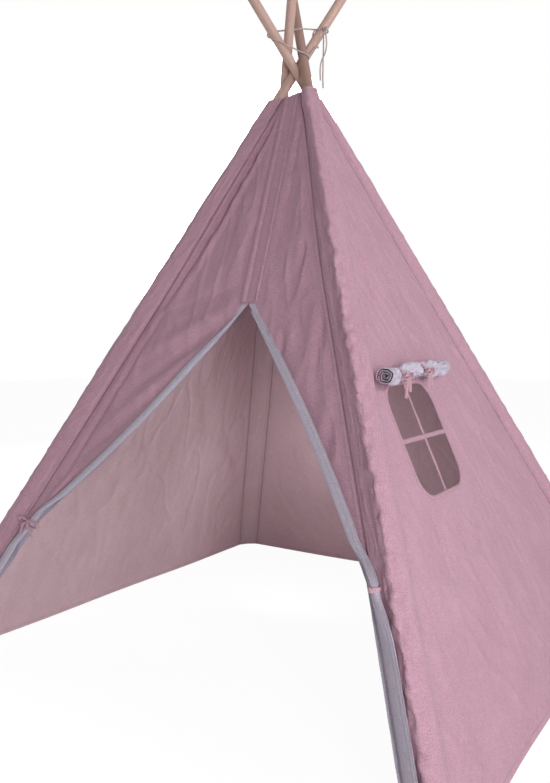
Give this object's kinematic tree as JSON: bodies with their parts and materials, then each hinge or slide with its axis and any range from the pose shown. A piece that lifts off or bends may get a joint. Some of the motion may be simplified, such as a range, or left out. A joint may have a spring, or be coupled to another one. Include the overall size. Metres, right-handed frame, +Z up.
{
  "type": "play teepee",
  "caption": "Play teepee: round wooden poles cross above a fabric cover with pole sleeves, a door tied open and a window whose curtain is rolled up.",
  "frame": {"origin": "on the floor under the middle of the four feet", "axes": "+Z up, the door faces -Y, the window is on the +X side"},
  "size_m": [1.2426, 1.245, 1.5965],
  "materials": {
    "wood": "planed softwood, satin",
    "steel": "drawn steel tube",
    "fabric": "plain-woven cotton canvas, matt",
    "lining": "the canvas's paler reverse side, matt",
    "ribbon": "woven tape, matt",
    "cord": "twisted cotton cord, matt"
  },
  "bodies": {
    "cover": {"front_panel_left": "fabric", "front_panel_right": "fabric", "placket_band": "fabric", "left_panel": "fabric", "back_panel": "fabric", "right_panel": "fabric", "door_flap_left": "lining", "door_flap_right": "lining", "door_tie_left": "ribbon", "door_tie_right": "ribbon", "window_binding": "ribbon", "window_bar_upright": "ribbon", "window_bar_cross": "ribbon", "curtain_roll": "lining", "curtain_tie_front": "ribbon", "curtain_tie_back": "ribbon", "lashing_loop": "cord", "lashing_knot": "cord", "lashing_tail_long": "cord", "lashing_tail_short": "cord"},
    "pole_front_left": {"pole_front_left_lower": "wood", "pole_front_left_upper": "wood", "ferrule_front_left": "steel", "sleeve_front_left": "fabric"},
    "pole_front_right": {"pole_front_right_lower": "wood", "pole_front_right_upper": "wood", "ferrule_front_right": "steel", "sleeve_front_right": "fabric"},
    "pole_back_left": {"pole_back_left_lower": "wood", "pole_back_left_upper": "wood", "ferrule_back_left": "steel", "sleeve_back_left": "fabric"},
    "pole_back_right": {"pole_back_right_lower": "wood", "pole_back_right_upper": "wood", "ferrule_back_right": "steel", "sleeve_back_right": "fabric"}
  },
  "joints": [
    {"name": "fold_front_left", "type": "hinge", "parent": "cover", "child": "pole_front_left", "pos_m": [-0.04365, -0.02823, 1.24], "axis": [0.7167, -0.6974, 0], "range_deg": [0, 26], "deforming": ["front_panel_left", "lashing_loop", "lashing_knot", "lashing_tail_long", "lashing_tail_short"]},
    {"name": "fold_front_right", "type": "hinge", "parent": "cover", "child": "pole_front_right", "pos_m": [0.07069, -0.05093, 1.24], "axis": [0.7199, 0.694, 0], "range_deg": [0, 26], "deforming": ["front_panel_right", "right_panel"]},
    {"name": "fold_back_left", "type": "hinge", "parent": "cover", "child": "pole_back_left", "pos_m": [-0.07069, 0.05093, 1.24], "axis": [-0.7199, -0.694, 0], "range_deg": [0, 26], "deforming": ["left_panel"]},
    {"name": "fold_back_right", "type": "hinge", "parent": "cover", "child": "pole_back_right", "pos_m": [0.04365, 0.02823, 1.24], "axis": [-0.7167, 0.6974, 0], "range_deg": [0, 26], "deforming": ["back_panel"]}
  ],
  "couplings": [
    {"joint": "fold_front_right", "follows": "fold_front_left", "ratio": 1},
    {"joint": "fold_back_left", "follows": "fold_front_left", "ratio": 1},
    {"joint": "fold_back_right", "follows": "fold_front_left", "ratio": 1}
  ]
}
